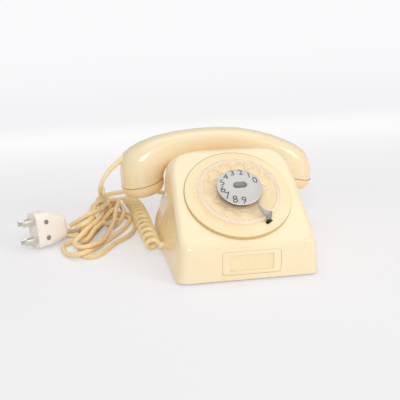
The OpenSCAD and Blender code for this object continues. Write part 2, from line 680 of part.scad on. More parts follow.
module capsule() {
    disc(capsule_r - 0.3, -cap_h + 3.7, 2);
    disc(capsule_r - 5, 1, 6);
}
module microphone() { color(steel) mouth_end() capsule(); }
module receiver() { color([0.35, 0.33, 0.32]) ear_end() capsule(); }

// ---------------------------------------------------------------- handset cord
boot_r = 2.9;
boot_turn = -125.5;      // direction in which the boot leaves the handset
boot_route = [[-102, 45, 89.5], [-105.5, 45, 87], [-109, 45, 84.5], [-113, 45, 81.2], [-117, 45, 77.4], [-121, 45, 73],
    [-123.5, 45, 69.5]];
lead_route = [[-123.96, 45, 68.85], [-126.5, 46, 63.5], [-128.4, 49, 57], [-128.8, 54, 50.5], [-128, 61, 44.8],
    [-126.4, 70, 39.6], [-124.4, 82, 35], [-122.4, 95, 31.8], [-120.4, 109, 29.4], [-118.8, 123, 27.8], [-117.8, 137, 25],
    [-117, 147, 19], [-116, 152.6, 11.8], [-113.6, 156.4, 5.6], [-109, 159, 2.6], [-103, 159.4, 2.6], [-97, 156.6, 3.6], [-92.4, 151, 6]];
curly_route = [[-92, 150.4, 7.8], [-88.5, 142, 7.8], [-85, 129, 7.8], [-82.4, 115, 7.8], [-80.6, 100, 7.8], [-80, 82, 7.8],
    [-80, 60, 7.8], [-80, 38, 7.8], [-80.4, 18, 7.8], [-81.4, 2, 7.8], [-82, -6, 7.8], [-81, -12, 7.8], [-77.4, -15.2, 7.8]];
curly_r = 7.5;
grommet_r = 3.6;
module cord_boot() { color(cord_tan) tube(boot_route, boot_r, 12, [0, 1, 0]); }
module handset_lead() { color(cord_tan) tube(lead_route, 2.2, 8, [0.2, 0.3, 1]); }
module curly_cord() { color(cord_tan) tube(curly_route, curly_r, 12); }
module handset_cord_grommet() {
    color(black) translate([-half_w - 4.4, grommet_y, cord_exit_z]) rotate([0, 90, 0]) {
        cylinder(r = grommet_r - 0.1, h = 7);
    }
}

// ---------------------------------------------------------------- line cord, hank and plug
gland_r = 4.2;
line_route = [[-57, 112.3, 9.5], [-57.4, 118, 8.8], [-59, 125, 6.4], [-63, 133, 3.8], [-69, 141, 2.6],
    [-77, 149, 2.6], [-86, 158, 2.6], [-95, 168, 2.6], [-105, 174, 2.6], [-116, 172, 2.6],
    [-122, 162, 2.6], [-123, 150, 3], [-121.5, 138, 5], [-120.5, 130, 6.4]];
plug_route = [[-164.6, 44.8, 13.6], [-162.4, 46, 13.3], [-160, 47.3, 13], [-157.4, 48.6, 12.6]];
module line_cord_gland() {
    color(black) translate([gland_x, rear_y - 4, cord_exit_z]) rotate([-90, 0, 0]) {
        cylinder(r = gland_r - 0.1, h = 4.2);
        translate([0, 0, 4.05]) cylinder(r1 = gland_r + 1.2, r2 = cord_r + 0.6, h = 11.2);
    }
}
module line_cord() { color(cord_tan) tube(line_route, cord_r, 8); }
hank_h = 21;
module line_cord_hank() {
    color(cord_tan) translate([0, 0, 0.1]) linear_extrude(hank_h) hull() {
        translate([-158, 8]) circle(18, $fn = 32);
        translate([-146, -8]) circle(16, $fn = 32);
        translate([-105, 58]) circle(14, $fn = 32);
        translate([-109, 124]) circle(14, $fn = 32);
    }
}
module plug_lead() { color(cord_tan) tube(plug_route, cord_r, 8); }
plug_yaw = 28;
plug_lean = -12;
plug_h = 38;             // height of the plug's blade face
plug_t = 20;             // thickness of the plug
plug_round = 7;
module on_plug() { translate([-187, 33, 20.5]) rotate([0, 0, plug_yaw]) rotate([plug_lean, 0, 0]) children(); }
module plug_body() {
    color(ivory) on_plug() hull() {
        for (z = [-1, 1], y = [-1, 1])
            translate([-18, y * (plug_t / 2 - plug_round), z * (plug_h / 2 - plug_round)])
                rotate([0, 90, 0]) cylinder(r = plug_round, h = 14, $fn = 32);
        for (z = [-10, 3]) translate([13, 0, z]) sphere(r = 8, $fn = 24);
    }
}
module plug_blades() {
    color(steel) on_plug() for (y = [-5.5, 5.5], z = [-10, 10]) translate([-32, y - 0.8, z - 3]) cube([14, 1.6, 6]);
}
module plug_screws() {
    color(steel) on_plug() for (z = [-9, 8]) translate([-7, -plug_t / 2, z]) rotate([90, 0, 0]) cylinder(r = 2.4, h = 0.8);
}
module plug_collar() { color(ivory) on_plug() translate([19.6, 0, -7]) rotate([0, 90, 0]) cylinder(r1 = 4.4, r2 = 3.4, h = 5); }

housing();
base_plate();
feet();
base_screws();
card_frame();
number_card();
card_window();
dial_bezel();
dial_case();
dial_screws();
bearing_plate();
finger_wheel();
number_plate();
plate_boss();
finger_stop();
dial_shaft();
main_gear();
return_spring();
pinion_spindle();
pulse_cam();
governor();
pulse_contacts();
left_plunger();
right_plunger();
hook_bar();
hook_spring();
hook_frame();
hook_contacts();
ringer_frame();
ringer_coils();
left_gong();
right_gong();
gong_screws();
clapper();
circuit_board();
induction_coil();
capacitor();
terminal_block();
handset_body();
mouthpiece_cap();
earpiece_cap();
microphone();
receiver();
cord_boot();
handset_lead();
curly_cord();
handset_cord_grommet();
line_cord_gland();
line_cord();
line_cord_hank();
plug_lead();
plug_collar();
plug_body();
plug_blades();
plug_screws();
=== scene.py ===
# %% [markdown]
# # A desk telephone with a rotary dial
#
# This lesson dresses a finished construction of a dial telephone for a still
# picture. The construction gives every part, its size and how it moves. Here
# each visible part gets a smooth surface and a finish of its own.
#
# The first cell empties the scene and loads the construction. Its parts could
# be modelled again by hand, but then they would no longer fit the mechanism,
# so they are taken as a fixed frame that new pieces are laid around.

# %% Load the construction
import json
import math

import bmesh
import bpy
import numpy as np
from mathutils import Matrix, Vector

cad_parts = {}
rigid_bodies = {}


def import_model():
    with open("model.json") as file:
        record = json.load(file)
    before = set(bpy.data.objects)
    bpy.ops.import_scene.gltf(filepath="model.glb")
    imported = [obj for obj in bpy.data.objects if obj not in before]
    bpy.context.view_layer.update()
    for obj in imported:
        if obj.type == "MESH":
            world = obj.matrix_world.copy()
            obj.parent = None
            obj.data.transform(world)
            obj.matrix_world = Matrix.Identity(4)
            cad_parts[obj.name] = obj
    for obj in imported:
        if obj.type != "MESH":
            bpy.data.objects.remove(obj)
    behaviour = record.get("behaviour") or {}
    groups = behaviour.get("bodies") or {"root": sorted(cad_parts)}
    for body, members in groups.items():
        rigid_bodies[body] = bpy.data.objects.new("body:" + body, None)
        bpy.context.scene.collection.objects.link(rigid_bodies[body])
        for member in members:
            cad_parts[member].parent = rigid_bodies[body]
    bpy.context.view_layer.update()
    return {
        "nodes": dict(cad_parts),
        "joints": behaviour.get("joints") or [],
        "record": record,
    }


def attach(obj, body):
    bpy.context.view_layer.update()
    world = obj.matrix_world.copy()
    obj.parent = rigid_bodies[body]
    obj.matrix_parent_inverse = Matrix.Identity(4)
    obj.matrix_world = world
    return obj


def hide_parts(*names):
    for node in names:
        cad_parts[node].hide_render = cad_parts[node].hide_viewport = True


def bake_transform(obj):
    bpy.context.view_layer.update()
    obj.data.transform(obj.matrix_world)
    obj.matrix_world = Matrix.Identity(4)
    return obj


for thing in list(bpy.data.objects):
    bpy.data.objects.remove(thing)
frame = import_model()
NODES = frame["nodes"]
MM = 0.001
BODY_OF = {node: body for body, nodes in frame["record"]["behaviour"]["bodies"].items()
           for node in nodes}
SLOT_OF = {name: node.data.materials[0].name for name, node in NODES.items()}
for plain in list(bpy.data.materials):
    bpy.data.materials.remove(plain)

# %% [markdown]
# ## The camera
#
# A product shot is taken with a long lens from a little above the table, so
# that upright edges stay almost parallel. The camera could be aimed by a
# constraint, but three plain angles are easier to read and to repeat.

# %% Place the camera
LENS_MM = 82.55
EYE = (-0.212893, -0.893942, 0.372283)
TILT_ROLL_TURN = (70.6099, 0.0573, -11.6584)
camera = bpy.data.objects.new("camera", bpy.data.cameras.new("camera"))
bpy.context.scene.collection.objects.link(camera)
camera.location = EYE
camera.rotation_euler = [math.radians(a) for a in TILT_ROLL_TURN]
camera.data.lens = LENS_MM
camera.data.sensor_width = 36
bpy.context.scene.camera = camera
print("camera", round(Vector(EYE).length, 3), "m from the middle of the base")

# %% [markdown]
# ## Finishes as formulas
#
# A finish is a small program of nodes. Wiring them one by one hides the idea,
# so the class below lets a mask be written as a sum, such as `1 - 2 * speck`.
# Each operator adds one Math node behind the scenes.
#
# `Wire` holds one output socket. `Finish.add` makes any other node: its
# settings come first, because they decide which sockets the node has.


# %% A wire that can be used in a sum
class Wire:
    """One output socket of a finish, for use in formulas."""

    def __init__(self, finish, socket):
        self.finish, self.socket = finish, socket

    def maths(self, operation, *values, clamp=False):
        return self.finish.add("ShaderNodeMath", {"operation": operation, "use_clamp": clamp},
                               dict(enumerate(values)))

    def __add__(self, other):
        return self.maths("ADD", self, other)

    def __sub__(self, other):
        return self.maths("SUBTRACT", self, other)

    def __rsub__(self, other):
        return self.maths("SUBTRACT", other, self)

    def __mul__(self, other):
        return self.maths("MULTIPLY", self, other)

    def __pow__(self, other):
        return self.maths("POWER", self, other)

    __radd__, __rmul__ = __add__, __mul__

    def between(self, low, high):
        """0 below low, 1 above high and even in between."""
        return self.maths("MULTIPLY", self - low, 1 / (high - low), clamp=True)


# %% A finish that grows nodes
class Finish:
    """A material made of nodes, with one surface shader."""

    made = {}

    def __init__(self, name):
        self.material = bpy.data.materials.new(name)
        self.material.use_nodes = True
        self.tree = self.material.node_tree
        self.tree.nodes.clear()
        self.end = self.tree.nodes.new("ShaderNodeOutputMaterial")
        Finish.made[name] = self.material

    def add(self, kind, settings=None, sockets=None, output=0):
        """Adds one node and returns one of its outputs as a Wire."""
        node = self.tree.nodes.new(kind)
        settings = dict(settings or {})
        stops = settings.pop("stops", None)
        for key, value in settings.items():
            setattr(node, key, value)
        if stops:
            ramp = node.color_ramp.elements
            while len(ramp) < len(stops):
                ramp.new(1)
            for element, (place, shade) in zip(ramp, stops):
                element.position, element.color = place, (*shade, 1)
        for key, value in (sockets or {}).items():
            if isinstance(value, Wire):
                self.tree.links.new(value.socket, node.inputs[key])
            else:
                node.inputs[key].default_value = value
        return Wire(self, node.outputs[output])

    def place(self, scale=(1, 1, 1), turn=(0, 0, 0), centre=(0, 0, 0)):
        """Where a point of the piece is, centred, turned and scaled for a pattern."""
        spot = self.add("ShaderNodeTexCoord", output="Object")
        moved = self.add("ShaderNodeVectorMath", {"operation": "SUBTRACT"}, {0: spot, 1: centre})
        return self.add("ShaderNodeMapping", None,
                        {"Vector": moved, "Rotation": turn, "Scale": scale})

    def cloud(self, size, detail=2.0, roughness=0.5, **where):
        """Soft noise from 0 to 1 whose patches are about size metres across."""
        return self.add("ShaderNodeTexNoise", None,
                        {"Vector": self.place(**where), "Scale": 0.5 / size,
                         "Detail": detail, "Roughness": roughness})

    def blend(self, mask, low, high):
        """A colour that goes from low to high with the mask."""
        return self.add("ShaderNodeMix", {"data_type": "RGBA", "clamp_factor": True},
                        {0: mask, 6: (*low, 1), 7: (*high, 1)}, output=2)

    def bump(self, height, depth):
        """A normal for relief of that depth in metres."""
        return self.add("ShaderNodeBump", None,
                        {"Height": height, "Distance": depth, "Strength": 1.0})

    def surface(self, shader):
        self.tree.links.new(shader.socket, self.end.inputs["Surface"])
        return self.material


def tone(red, green, blue):
    """A colour as a screen shows it, 0 to 255, as the linear numbers of a shader."""
    return tuple((c / 255 / 12.92) if c <= 10 else ((c / 255 + 0.055) / 1.055) ** 2.4
                 for c in (red, green, blue))


print("mid grey is", round(tone(128, 128, 128)[0], 3), "in a shader")

# %% [markdown]
# ## Moulded plastic
#
# The shell and handset are pressed from ivory plastic and polished. Polished
# plastic is never quite even: the colour drifts by a shade over a few
# centimetres, the gloss is duller where hands go, and the skin has a very low
# ripple from the mould. A bought texture could show that, but three soft
# noises do it at the right size and on any shape.


# %% One recipe for all moulded plastics
def moulded(name, light, dark, gloss, ripple=0.00003, ripple_size=0.007, coat=0.0, speck=0.0,
            painted_shade=None, light_dir=(0, -0.55, 0.84), span=(-0.15, 0.5)):
    """Plastic whose colour drifts between two shades.

    Where it faces away from the light direction it takes a painted shade colour, over the span
    of facing from fully shaded to not at all.
    """
    finish = Finish(name)
    drift = finish.cloud(0.035, detail=3).between(0.35, 0.68)
    handled = finish.cloud(0.012, detail=4, roughness=0.6).between(0.3, 0.75)
    colour = finish.blend(drift, dark, light)
    # painted shade: faces turned away from the light take a deeper colour that stands for shade
    if painted_shade:
        facing = finish.add("ShaderNodeTexCoord", output="Normal")
        lit_facing = finish.add("ShaderNodeVectorMath", {"operation": "DOT_PRODUCT"},
                              {0: facing, 1: light_dir}, output="Value")
        kept = 1 - (lit_facing + 0.25 * (drift - 0.5)).between(*span)
        colour = finish.add("ShaderNodeMix", {"data_type": "RGBA"},
                            {0: kept, 6: colour, 7: (*painted_shade, 1)}, output=2)
    if speck:
        dust = finish.cloud(0.0009, detail=1).between(0.72, 0.8) * speck
        colour = finish.add("ShaderNodeMix", {"data_type": "RGBA"},
                            {0: dust, 6: colour, 7: (*[c * 0.6 for c in dark], 1)}, output=2)
    relief = finish.bump(finish.cloud(ripple_size, detail=1), ripple)
    shader = finish.add("ShaderNodeBsdfPrincipled", None,
                        {"Base Color": colour, "Roughness": gloss + 0.06 * handled,
                         "Normal": relief, "Coat Weight": coat, "Coat Roughness": 0.06})
    return finish.surface(shader)


# the shell's sides and undersides, turned away from the light, are painted a deeper yellow as
# shade
moulded("cream_shell", tone(250, 233, 197), tone(247, 229, 191), 0.2, 0.000018, coat=0.5,
        painted_shade=tone(254, 221, 160))
# the bezel's flank that turns down and left, away from the light, is painted darker as shade
moulded("cream_disc", tone(249, 232, 192), tone(246, 227, 184), 0.26, coat=0.2,
        painted_shade=tone(224, 188, 126), light_dir=(0.36, 0.03, 0.93), span=(0.0, 0.42))
moulded("ivory_plastic", tone(248, 244, 235), tone(244, 238, 226), 0.34, speck=0.3)
moulded("seam_shadow", tone(150, 104, 54), tone(128, 84, 40), 0.7)
moulded("dark_plastic", tone(46, 42, 40), tone(36, 33, 31), 0.42)
moulded("rubber", tone(72, 62, 52), tone(52, 45, 38), 0.6)
moulded("board", tone(150, 112, 66), tone(132, 96, 54), 0.5, speck=0.5)
print("plastics:", ", ".join(Finish.made))

# %% [markdown]
# ## Cord covering, card and metal
#
# The cords are covered in soft vinyl that has yellowed: its colour changes
# slowly along the cord and the skin is faintly grained. The card behind the
# window is paper, so it has fibres but no gloss. Metal parts get fine lines in
# one direction from noise that is squeezed along one axis.

# %% Cord covering and card
moulded("cord", tone(248, 222, 172), tone(238, 208, 154), 0.38, ripple=0.00002,
        ripple_size=0.0012, coat=0.1)
moulded("coil_cord", tone(255, 238, 190), tone(252, 230, 176), 0.34, ripple=0.00002,
        ripple_size=0.0012, coat=0.15)

paper = Finish("card")
fibre = paper.cloud(0.0006, detail=3, scale=(1, 1, 0.4))
paper.surface(paper.add("ShaderNodeBsdfPrincipled", None, {
    "Base Color": paper.blend(fibre, tone(247, 231, 190), tone(250, 236, 198)),
    "Roughness": 0.75 + 0.1 * fibre, "Normal": paper.bump(fibre, 0.00003)}))


# %% Metals
def metal(name, light, dark, gloss, grain=(1, 1, 12), metallic=1.0, line=0.000008):
    """Metal with fine drawn lines and a few dull patches."""
    finish = Finish(name)
    lines = finish.cloud(0.004, detail=3, scale=grain)
    dull = finish.cloud(0.006, detail=2).between(0.4, 0.75)
    shader = finish.add("ShaderNodeBsdfPrincipled", None, {
        "Base Color": finish.blend(lines, dark, light), "Metallic": metallic,
        "Roughness": gloss + 0.08 * dull + 0.05 * lines, "Normal": finish.bump(lines, line)})
    return finish.surface(shader)


metal("steel", tone(182, 181, 178), tone(158, 157, 154), 0.28)
metal("dull_steel", tone(150, 149, 147), tone(128, 127, 126), 0.34)
metal("nickel", tone(226, 224, 214), tone(204, 202, 192), 0.3, metallic=0.7)
metal("brass", tone(222, 186, 116), tone(196, 158, 92), 0.24)
metal("copper", tone(208, 134, 86), tone(176, 104, 62), 0.3)
metal("gong_metal", tone(214, 208, 196), tone(190, 184, 172), 0.18)
print("metals and cord:", ", ".join(list(Finish.made)[-9:]))

# %% [markdown]
# ## The clear finger wheel
#
# The wheel is clear acrylic. So the flat faces mix a transparent shader with
# a glossy one: mostly transparent face on, more mirror at a glancing view.
# The walls of the holes and the rim gather light, so they get a whiter, milky finish
# of their own, a painted highlight for the light they gather.


# %% Clear acrylic
def acrylic(name, milk, colour, gloss, glancing=0.35):
    """See-through plastic: milk is how much shows of its own body."""
    finish = Finish(name)
    glance = finish.add("ShaderNodeLayerWeight", None, {"Blend": 0.25}, output="Facing")
    dust = finish.cloud(0.003, detail=3).between(0.35, 0.8)
    shadow_ray = finish.add("ShaderNodeLightPath", output="Is Shadow Ray")
    amount = milk + 0.05 * dust + glancing * glance ** 3
    amount = (amount * (1 - 0.7 * shadow_ray)).between(0, 1)
    clear = finish.add("ShaderNodeBsdfTransparent", None, {"Color": (0.99, 0.98, 0.965, 1)})
    body = finish.add("ShaderNodeBsdfPrincipled", None, {
        "Base Color": (*colour, 1), "Roughness": gloss, "Coat Weight": 1.0,
        "Coat Roughness": 0.02, "Normal": finish.bump(finish.cloud(0.01, detail=1), 0.00002)})
    return finish.surface(finish.add("ShaderNodeMixShader", None,
                                     {0: amount, 1: clear, 2: body}))


acrylic("clear_wheel", 0.16, tone(240, 230, 208), 0.08)
# painted highlight: the rim and the walls of the holes are whiter and less clear
acrylic("wheel_edge", 0.5, tone(255, 240, 233), 0.15)
acrylic("clear_window", 0.04, tone(255, 250, 240), 0.05, glancing=0.1)

# %% The grey number plate
plate = Finish("plate_metal")
haze = plate.cloud(0.006, detail=4, roughness=0.6)
plate.surface(plate.add("ShaderNodeBsdfPrincipled", None, {
    "Base Color": plate.blend(haze, tone(204, 202, 199), tone(212, 210, 207)),
    "Metallic": 0.25, "Roughness": 0.34 + 0.08 * haze,
    "Normal": plate.bump(plate.cloud(0.0012, detail=2), 0.000006)}))
moulded("digit_ink", tone(84, 82, 86), tone(74, 72, 76), 0.5)
print(len(Finish.made), "finishes")

# %% [markdown]
# ## Helpers that make pieces
#
# Every piece has to hang on one of the moving bodies, so one helper links it,
# gives it a finish, hangs it on what it rides on and hides the construction
# parts that it stands for. A second one takes a smooth copy of a construction
# part. Those meshes are loose triangles: merged, and with only the true corners
# kept sharp, the same shape turns smooth.


# %% Link a piece
def piece(name, mesh, body, slot, finish=None, replaces=()):
    """A finished piece that moves with a body; with body None it is hung on none."""
    thing = bpy.data.objects.new(name, mesh)
    bpy.context.scene.collection.objects.link(thing)
    if not mesh.materials:
        mesh.materials.append(Finish.made[finish or slot])
    if body:
        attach(thing, body)
    if replaces:
        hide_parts(*replaces)
    return thing


def to_mesh(bm, name, sharp=35):
    """Writes a bmesh to a new mesh, smooth but for the corners over the sharp angle."""
    for face in bm.faces:
        face.smooth = True
    for edge in bm.edges:
        edge.smooth = len(edge.link_faces) == 2 and \
            edge.calc_face_angle(0) < math.radians(sharp)
    mesh = bpy.data.meshes.new(name)
    bm.to_mesh(mesh)
    bm.free()
    return mesh


# %% A smooth copy of a construction part
def merged(node):
    """A bmesh of a construction part with its seams closed."""
    bm = bmesh.new()
    bm.from_mesh(NODES[node].data)
    bmesh.ops.remove_doubles(bm, verts=bm.verts, dist=0.002 * MM)
    bmesh.ops.dissolve_degenerate(bm, edges=bm.edges, dist=0.001 * MM)
    return bm


# behind TAPER_FROM the side walls turn in by TAPER_SLOPE of the depth; the middle stays
# as it is up to STILL_TO, and from MOVED_FROM outwards everything moves alike
TAPER_FROM, TAPER_SLOPE = 42 * MM, 0.27
STILL_TO, MOVED_FROM = 8 * MM, 40 * MM


def drawn_in(x, y):
    """How far the side walls turn in behind the handset, less towards the middle."""
    side = min(max((abs(x) - STILL_TO) / (MOVED_FROM - STILL_TO), 0), 1)
    return math.copysign(side * side * (3 - 2 * side), x) * TAPER_SLOPE * max(0, y - TAPER_FROM)


def dress(node, finish=None, sharp=30, bevel=0.0, turn=None, taper=False):
    """Puts a smooth copy in place of a construction part, its corners eased by bevel mm.

    turn moves the copy, and taper turns its sides in behind the handset.
    """
    bm = merged(node)
    if turn:
        bmesh.ops.transform(bm, matrix=turn, verts=bm.verts)
    if taper:
        bmesh.ops.bisect_plane(bm, geom=bm.verts[:] + bm.edges[:] + bm.faces[:], dist=1e-7,
                               plane_co=(0, TAPER_FROM, 0), plane_no=(0, 1, 0))
        for v in bm.verts:
            v.co.x -= drawn_in(v.co.x, v.co.y)
    if bevel:
        bmesh.ops.dissolve_limit(bm, angle_limit=math.radians(0.3), verts=bm.verts,
                                 edges=bm.edges, delimit={"NORMAL"})
        corners = [e for e in bm.edges if len(e.link_faces) == 2
                   and e.calc_face_angle(0) > math.radians(sharp)]
        bmesh.ops.bevel(bm, geom=corners, offset=bevel * MM, segments=2, profile=0.5,
                        affect="EDGES", clamp_overlap=True, material=-1)
    return piece(node + "_skin", to_mesh(bm, node + "_skin", sharp), BODY_OF[node],
                 SLOT_OF[node], finish, [node])


# %% [markdown]
# ## Cords
#
# A cord is a fixed length of something flexible, so it starts as a list of
# points. A smooth curve through a few points of the route is resampled into
# even steps, and a round tube is swept along it. The curve type of Blender
# does the sweep, and the result is kept as a mesh.


# %% Smooth routes
def even(points, step):
    """Points an even step apart on a Catmull-Rom curve through the given ones."""
    p = np.array(points, float)
    p = np.vstack([2 * p[0] - p[1], p, 2 * p[-1] - p[-2]])
    fine = []
    for p0, p1, p2, p3 in zip(p, p[1:], p[2:], p[3:]):
        t = np.linspace(0, 1, 24, endpoint=False)[:, None]
        fine.append(0.5 * (2 * p1 + (p2 - p0) * t + (2 * p0 - 5 * p1 + 4 * p2 - p3) * t ** 2
                           + (3 * p1 - p0 - 3 * p2 + p3) * t ** 3))
    fine = np.vstack(fine + [p[-2:-1]])
    way = np.r_[0, np.cumsum(np.linalg.norm(np.diff(fine, axis=0), axis=1))]
    at = np.linspace(0, way[-1], max(2, round(way[-1] / step) + 1))
    return np.stack([np.interp(at, way, fine[:, k]) for k in range(fine.shape[1])], 1)


def eased(points, times):
    """The same points with small kinks averaged out; both ends stay."""
    p = np.array(points, float)
    for _ in range(times):
        p[1:-1] = (p[:-2] + 2 * p[1:-1] + p[2:]) / 4
    return p


def relaxed(points, bend, rounds):
    """The same points, moved only where the line bends tighter than this radius."""
    p = np.array(points, float)
    step = np.median(np.linalg.norm(np.diff(p, axis=0), axis=1))
    for _ in range(rounds):
        p = even(p, step)
        back, ahead = p[1:-1] - p[:-2], p[2:] - p[1:-1]
        back_run, ahead_run = (np.linalg.norm(v, axis=1) for v in (back, ahead))
        turn = np.arccos(np.clip((back * ahead).sum(1) / (back_run * ahead_run), -1, 1))
        tight = turn > (back_run + ahead_run) / 2 / bend
        # two neighbours on each side move along, so that no new kink forms
        near = np.max([np.pad(tight.astype(float), 2)[k:k + len(turn)] for k in range(5)],
                      axis=0)
        p[1:-1] += 0.5 * near[:, None] * ((p[:-2] + p[2:]) / 2 - p[1:-1])
    return p


def run_length(points):
    return float(np.linalg.norm(np.diff(points, axis=0), axis=1).sum())


# %% Sweep a tube
def tube(name, points, radius, sides=16):
    """A mesh tube along points in metres; radius is one number or one for each point."""
    curve = bpy.data.curves.new(name, "CURVE")
    curve.dimensions, curve.twist_mode, curve.use_fill_caps = "3D", "MINIMUM", True
    curve.bevel_depth, curve.bevel_resolution = 1.0, sides // 4 - 1
    line = curve.splines.new("POLY")
    line.points.add(len(points) - 1)
    line.points.foreach_set("co", np.c_[points, np.ones(len(points))].ravel())
    line.points.foreach_set("radius", np.broadcast_to(radius, len(points)).astype(float))
    rope = bpy.data.objects.new(name, curve)
    bpy.context.scene.collection.objects.link(rope)
    bpy.context.view_layer.update()
    mesh = bpy.data.meshes.new_from_object(
        rope.evaluated_get(bpy.context.evaluated_depsgraph_get()))
    bpy.data.objects.remove(rope)
    bm = bmesh.new()
    bm.from_mesh(mesh)
    bmesh.ops.remove_doubles(bm, verts=bm.verts, dist=0.005 * MM)
    bmesh.ops.recalc_face_normals(bm, faces=bm.faces)
    return to_mesh(bm, name)


# %% [markdown]
# ## The handset's coiled cord
#
# The cord leaves the handset straight, drops behind the telephone as a plain
# lead, turns round on the table and comes forward as a coil, which ends in
# the left wall. It could be two pieces, but a real cord is one tube, so the
# plain lead and the coil are one list of points. The coil is stretched loosely
# in front and lies almost closed behind.

# %% Where the handset cord runs
BOOT_ROUTE = [(-102, 45, 89.5), (-105.5, 45, 87), (-109, 45, 84.5), (-113, 45, 81.2),
              (-117, 45, 77.4), (-121, 45, 73), (-123.5, 45, 69.5)]
LEAD_ROUTE = [(-121, 45, 73), (-123.96, 45, 68.85), (-126.5, 46, 63.5), (-128.4, 49, 57),
              (-128.8, 54, 50.5), (-128, 61, 44.8), (-126.4, 70, 39.6), (-124.4, 82, 35),
              (-122.4, 95, 31.8), (-120.4, 109, 29.4), (-118.8, 123, 27.8), (-117.8, 137, 25),
              (-117, 147, 19), (-116, 152.6, 11.8), (-113.6, 156.4, 5.6), (-109, 159, 2.6),
              (-103, 159.4, 2.6), (-97, 157.4, 3.6), (-93, 153.5, 6)]
COIL_ROUTE = [(-92, 150.4, 7.6), (-88.5, 142, 8), (-85.6, 129, 8.6), (-83.6, 115, 9.2),
              (-82.4, 100, 9.6), (-82, 82, 9.8), (-82, 60, 9.8), (-82, 38, 9.8),
              (-82, 18, 9.6), (-81.8, 2, 9.3), (-81.4, -8, 9), (-80.8, -15.5, 9)]
COIL_END = [(-74.4, -15.2, 9.4), (-72.4, -15, 9.5)]
# the cord's radius, and the bend that tighter ones are relaxed towards
HANDSET_CORD_R, HANDSET_CORD_BEND = 2.4, 3.4
TURN_STEPS = 22
# how far apart the turns are, at these distances in mm along the coil, and how far out the
# cord's middle lies, at these of the 180 parts of its length
PITCH = ([0, 12, 30, 60, 90, 170, 200], [8.0, 5.2, 6.0, 8.5, 12.5, 14.5, 12.0])
REACH = ([0, 10, 40, 90, 140, 172, 180], [3.0, 5.6, 6.8, 7.4, 7.4, 6.6, 6.2])
# how many points before and after the lead's end are eased, where it runs into the coil
RUN_IN_BEFORE, RUN_IN_AFTER = 12, 26


# %% Wind the coil
def coil(route):
    """Points of a coil around a route in mm, with a changing pitch and reach."""
    step = 0.25
    line = even(route, step)
    ahead = np.gradient(line, axis=0)
    ahead /= np.linalg.norm(ahead, axis=1)[:, None]
    side = np.cross(ahead, (0, 0, 1))
    side /= np.linalg.norm(side, axis=1)[:, None]
    over = np.cross(side, ahead)
    way = np.r_[0, np.cumsum(np.linalg.norm(np.diff(line, axis=0), axis=1))]
    phase = np.cumsum(step / np.interp(way, *PITCH)) * 2 * math.pi
    phase += math.pi - phase[-1]
    out = np.interp(way, [part * way[-1] / REACH[0][-1] for part in REACH[0]], REACH[1])
    turns = (phase[-1] - phase[0]) / (2 * math.pi)
    at = np.interp(np.linspace(phase[0], phase[-1], round(turns * TURN_STEPS)),
                   phase, np.arange(len(phase)))

    def pick(values):
        return np.stack([np.interp(at, np.arange(len(values)), row) for row in values.T], 1)

    far, angle = pick(out[:, None]), pick(phase[:, None])
    print("coil of", round(turns, 1), "turns over", round(way[-1]), "mm")
    return pick(line) + far * (np.cos(angle) * pick(side) + np.sin(angle) * pick(over))


lead = even(LEAD_ROUTE, 2.0)
handset_line = eased(np.vstack([lead, coil(COIL_ROUTE), COIL_END]), 3)
joint = slice(len(lead) - RUN_IN_BEFORE, len(lead) + RUN_IN_AFTER)
handset_line[joint] = eased(handset_line[joint], 60)
handset_line = relaxed(even(handset_line, 1.4), HANDSET_CORD_BEND, 40) * MM
handset_cord = piece("handset_cord", tube("handset_cord", handset_line, HANDSET_CORD_R * MM, 12),
                     None, "cord", "coil_cord", ["handset_lead", "curly_cord"])
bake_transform(handset_cord)

# %% The boot where it leaves the handset
boot_line = even(BOOT_ROUTE, 0.8)
along = np.linspace(0, 1, len(boot_line))
grooves = (np.sin(along * 34) > 0.2) * (along > 0.25)
boot_radius = 3.3 - 0.7 * along - 0.18 * grooves
piece("cord_boot_skin", tube("cord_boot_skin", boot_line * MM, boot_radius * MM, 20),
      "handset", "cord", "coil_cord", ["cord_boot"])

# %% [markdown]
# ## The line cord and its bundle
#
# The line cord leaves the back, swings out beside the telephone and is laid
# up in a long flat bundle, as for storage. Where a later lap crosses an earlier
# one it has to climb over it. Doing that by hand fails quickly, so only the
# plan is drawn, lap by lap, and a small routine then lets every point rest on
# whatever lies below it. Folds that come out too tight are opened a little.

# %% Plan of the bundle
# the cord's radius, and the bends that its plan and then its path are relaxed towards
LINE_CORD_R, FOLD_BEND, LINE_CORD_BEND = 2.6, 9.0, 8.0
